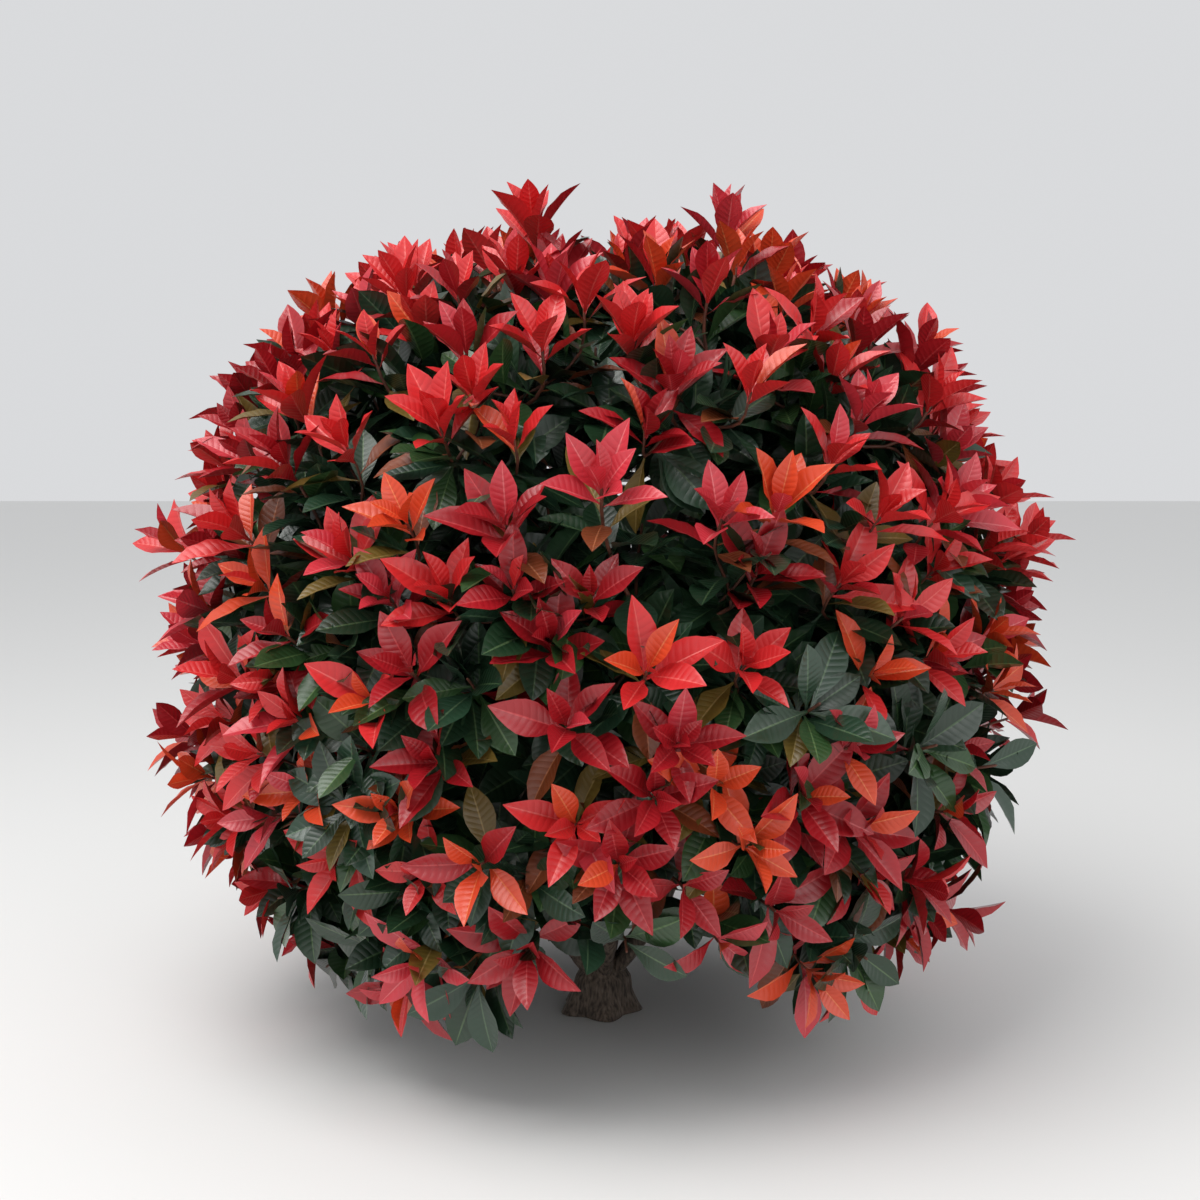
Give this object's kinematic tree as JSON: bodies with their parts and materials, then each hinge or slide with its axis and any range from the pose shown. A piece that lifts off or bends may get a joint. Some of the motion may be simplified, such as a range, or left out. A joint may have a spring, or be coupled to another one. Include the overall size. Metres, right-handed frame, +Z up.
{
  "type": "red-tipped photinia shrub",
  "caption": "Rounded evergreen photinia shrub with glossy red young leaves over dark green ones, on stems that spread from a short rooted trunk.",
  "frame": {"origin": "centre of the flat cut under the trunk, at ground level", "axes": "+Z up along the trunk, +X to the viewer's right and +Y away from the viewer as the picture shows the shrub"},
  "size_m": [1.3444, 1.2514, 1.2042],
  "materials": {
    "bark": "matt grey-brown bark",
    "young_leaf": "glossy bright red young leaves",
    "old_leaf": "leathery dark green leaves, half gloss"
  },
  "bodies": {
    "root": {"centre_stem": "bark", "crown_bough_1": "bark", "crown_bough_2": "bark", "crown_bough_3": "bark", "crown_bough_4": "bark", "crown_bough_5": "bark", "crown_mass_1": "young_leaf", "crown_mass_2": "young_leaf", "crown_mass_3": "young_leaf", "crown_mass_4": "young_leaf", "crown_mass_5": "young_leaf", "shoulder_mass_1": "young_leaf", "shoulder_mass_2": "young_leaf", "shoulder_mass_3": "young_leaf", "shoulder_mass_4": "young_leaf", "shoulder_mass_5": "young_leaf", "shoulder_mass_6": "young_leaf", "shoulder_mass_7": "young_leaf", "skirt_bough_1": "bark", "skirt_bough_2": "bark", "skirt_bough_3": "bark", "skirt_bough_4": "bark", "skirt_bough_5": "bark", "skirt_bough_6": "bark", "skirt_bough_7": "bark", "skirt_mass_1": "old_leaf", "skirt_mass_2": "old_leaf", "skirt_mass_3": "old_leaf", "skirt_mass_4": "old_leaf", "skirt_mass_5": "old_leaf", "skirt_mass_6": "old_leaf", "skirt_mass_7": "old_leaf", "stem_1": "bark", "stem_2": "bark", "stem_3": "bark", "stem_4": "bark", "stem_5": "bark", "stem_6": "bark", "stem_7": "bark", "top_mass": "young_leaf", "trunk": "bark"}
  },
  "joints": []
}
